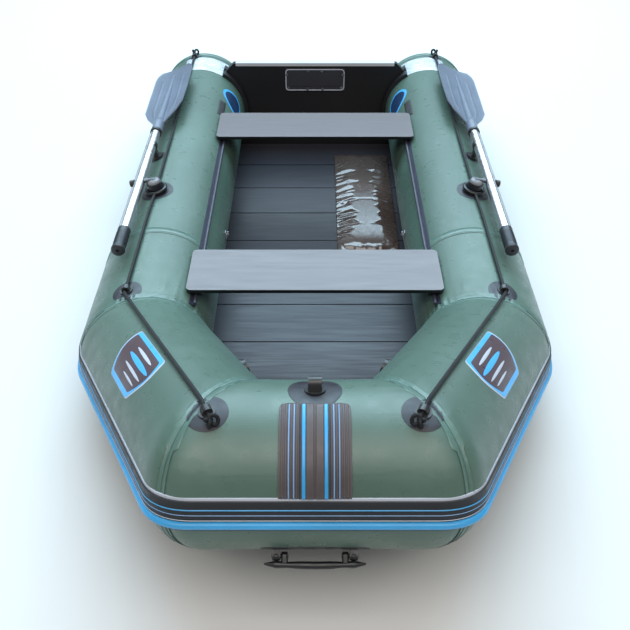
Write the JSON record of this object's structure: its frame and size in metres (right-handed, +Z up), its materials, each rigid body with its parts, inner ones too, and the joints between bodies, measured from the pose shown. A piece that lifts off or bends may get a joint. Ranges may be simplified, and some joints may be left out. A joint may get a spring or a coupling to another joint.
{
  "type": "inflatable dinghy",
  "caption": "Inflatable dinghy with raised blunt bow, hard transom, slatted floor, sliding seats, grab lines, swivelling oars and a carry handle.",
  "frame": {"origin": "on the ground, under the middle of the hull's length and beam", "axes": "+Z up, -Y towards the bow, +X to port"},
  "size_m": [1.424, 2.7958, 0.6009],
  "materials": {
    "hull_fabric": "satin coated fabric",
    "bottom_fabric": "satin coated fabric",
    "floor_board": "stained plywood",
    "transom_board": "black lacquered plywood",
    "light_profile": "satin",
    "strake_rubber": "matt",
    "trim_blue": "satin",
    "patch_fabric": "satin coated fabric",
    "emblem": "satin print",
    "seat_ply": "varnished plywood",
    "oar_aluminium": "satin anodised",
    "blade_plastic": "satin",
    "grey_plastic": "satin",
    "black_plastic": "satin",
    "rope": "braided",
    "steel": "brushed",
    "silver_patch": "metallic",
    "brass": "satin",
    "motor_plate": "satin",
    "pouch_film": "glossy film"
  },
  "bodies": {
    "hull": {"tube_bow": "hull_fabric", "tube_diagonal_port": "hull_fabric", "tube_diagonal_starboard": "hull_fabric", "tube_side_port": "hull_fabric", "tube_side_starboard": "hull_fabric", "stern_cone_port": "hull_fabric", "stern_cone_starboard": "hull_fabric", "bulkheads": "bottom_fabric", "hull_bottom": "bottom_fabric", "floor_slats": "floor_board", "transom_board": "transom_board", "transom_cap": "light_profile", "transom_holders": "black_plastic", "motor_plate_inner": "motor_plate", "motor_plate_outer": "motor_plate", "motor_plate_bolts": "steel", "drain_valve_body": "black_plastic", "strake_bow": "strake_rubber", "strake_port": "strake_rubber", "strake_starboard": "strake_rubber", "bow_wear_strip": "strake_rubber", "patches": "patch_fabric", "tow_eye": "black_plastic", "bow_eyes": "black_plastic", "corner_eyes": "black_plastic", "stern_eyes": "black_plastic", "oarlock_base_port": "black_plastic", "oarlock_base_starboard": "black_plastic", "oar_clip_port": "black_plastic", "oar_clip_starboard": "black_plastic", "seat_rails": "light_profile", "carry_handle_lugs": "black_plastic", "grab_line_port": "rope", "grab_line_starboard": "rope", "valve_body_port": "black_plastic", "valve_body_starboard": "black_plastic", "valve_spring_port": "steel", "valve_spring_starboard": "steel", "side_hooks": "steel"},
    "seat_fore": {"seat_board_fore": "seat_ply", "seat_slides_fore": "black_plastic"},
    "seat_aft": {"seat_board_aft": "seat_ply", "seat_slides_aft": "black_plastic"},
    "swivel_port": {"oarlock_swivel_port": "grey_plastic", "oar_pin_port": "black_plastic"},
    "swivel_starboard": {"oarlock_swivel_starboard": "grey_plastic", "oar_pin_starboard": "black_plastic"},
    "oar_port": {"oar_shaft_port": "oar_aluminium", "oar_blade_port": "blade_plastic", "oar_grip_port": "black_plastic"},
    "oar_starboard": {"oar_shaft_starboard": "oar_aluminium", "oar_blade_starboard": "blade_plastic", "oar_grip_starboard": "black_plastic"},
    "handle": {"carry_handle_grip": "black_plastic"},
    "valve_stem_port": {"valve_stem_port": "brass"},
    "valve_stem_starboard": {"valve_stem_starboard": "brass"},
    "valve_cap_port": {"valve_cap_port": "black_plastic"},
    "valve_cap_starboard": {"valve_cap_starboard": "black_plastic"},
    "drain_plug": {"drain_plug": "black_plastic"},
    "pouch": {"floor_pouch": "pouch_film"}
  },
  "joints": [
    {"name": "seat_fore_slide", "type": "slide", "parent": "hull", "child": "seat_fore", "axis": [0, 1, 0], "range_m": [-0.04, 0.37]},
    {"name": "seat_aft_slide", "type": "slide", "parent": "hull", "child": "seat_aft", "axis": [0, 1, 0], "range_m": [-0.37, 0.04]},
    {"name": "oar_swing_port", "type": "hinge", "parent": "hull", "child": "swivel_port", "pos_m": [0.54625, 0.00793, 0.37551], "axis": [-0.1908, 0, -0.9816], "range_deg": [0, 110], "deforming": ["oar_clip_port"]},
    {"name": "oar_swing_starboard", "type": "hinge", "parent": "hull", "child": "swivel_starboard", "pos_m": [-0.54625, 0.00793, 0.37551], "axis": [-0.1908, 0, 0.9816], "range_deg": [0, 110], "deforming": ["oar_clip_starboard"]},
    {"name": "oar_dip_port", "type": "hinge", "parent": "swivel_port", "child": "oar_port", "pos_m": [0.59995, 0.00793, 0.41001], "axis": [0.9816, 0, -0.1908], "range_deg": [0, 3]},
    {"name": "oar_dip_starboard", "type": "hinge", "parent": "swivel_starboard", "child": "oar_starboard", "pos_m": [-0.59995, 0.00793, 0.41001], "axis": [0.9816, 0, 0.1908], "range_deg": [0, 3]},
    {"name": "handle_swing", "type": "hinge", "parent": "hull", "child": "handle", "pos_m": [0, -1.36702, 0.27037], "axis": [1, 0, 0], "range_deg": [-70, 70]},
    {"name": "valve_press_port", "type": "slide", "parent": "hull", "child": "valve_stem_port", "axis": [0.8662, -0.4816, -0.1333], "range_m": [0, 0.005], "stiffness_N_per_m": 400, "springref_m": -0.004, "deforming": ["valve_spring_port"]},
    {"name": "valve_press_starboard", "type": "slide", "parent": "hull", "child": "valve_stem_starboard", "axis": [-0.8662, -0.4816, -0.1333], "range_m": [0, 0.005], "stiffness_N_per_m": 400, "springref_m": -0.004, "deforming": ["valve_spring_starboard"]},
    {"name": "valve_cap_off_port", "type": "slide", "parent": "hull", "child": "valve_cap_port", "axis": [-0.8662, 0.4816, 0.1333], "range_m": [0, 0.03]},
    {"name": "valve_cap_off_starboard", "type": "slide", "parent": "hull", "child": "valve_cap_starboard", "axis": [0.8662, 0.4816, 0.1333], "range_m": [0, 0.03]},
    {"name": "drain_plug_out", "type": "slide", "parent": "hull", "child": "drain_plug", "axis": [0, 1, 0], "range_m": [0, 0.05]},
    {"name": "pouch_lift", "type": "slide", "parent": "hull", "child": "pouch", "axis": [0, 0, 1], "range_m": [0, 0.06]}
  ]
}
